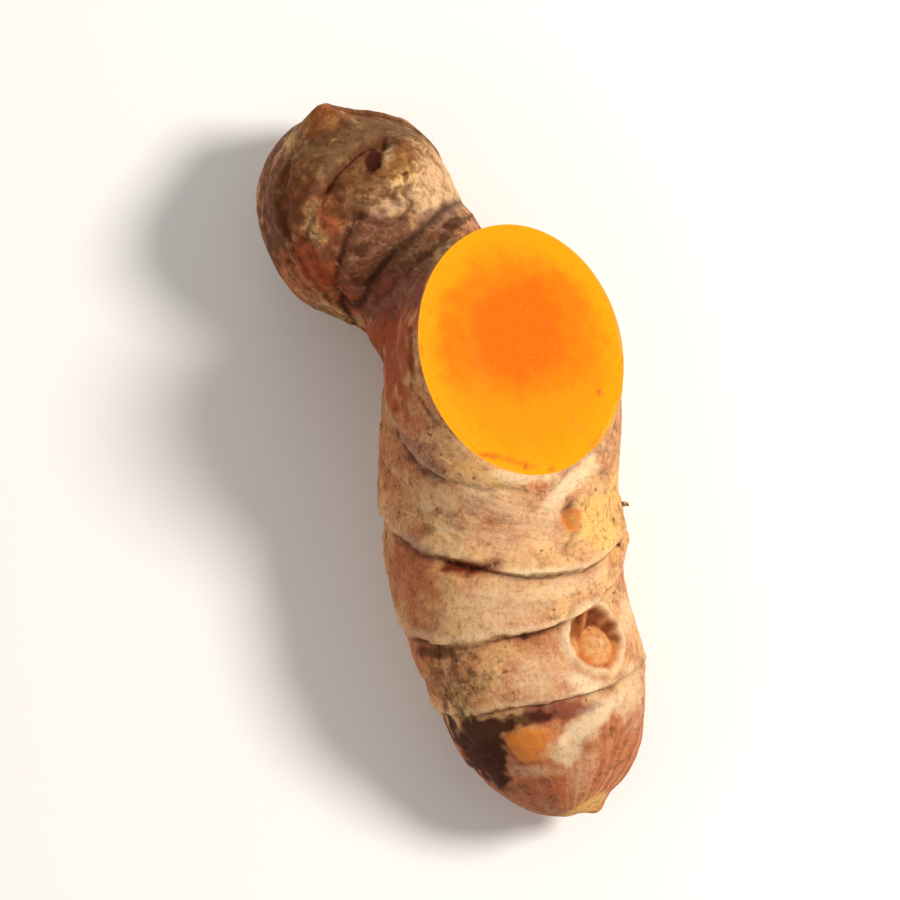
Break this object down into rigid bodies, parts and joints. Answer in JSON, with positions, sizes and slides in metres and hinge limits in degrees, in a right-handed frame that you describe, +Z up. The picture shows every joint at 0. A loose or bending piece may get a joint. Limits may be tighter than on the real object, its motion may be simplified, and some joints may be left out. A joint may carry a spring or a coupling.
{
  "type": "turmeric root",
  "caption": "Fresh turmeric rhizome: a stout ringed finger with one cut end showing orange flesh, a rounded side knob and small bud eyes, lying on its belly.",
  "frame": {"origin": "in the flat spot under the belly of the finger, on the surface that the root rests on", "axes": "+Z up, +Y from the finger's tip to the knob along the root's length, +X to the side that the cut face leans to"},
  "size_m": [0.0374, 0.0689, 0.0312],
  "materials": {
    "skin": "matte tan to pinkish brown root skin with darker leaf scars, and moist orange flesh on the cut face"
  },
  "bodies": {
    "root": {"turmeric_rhizome": "skin"}
  },
  "joints": []
}
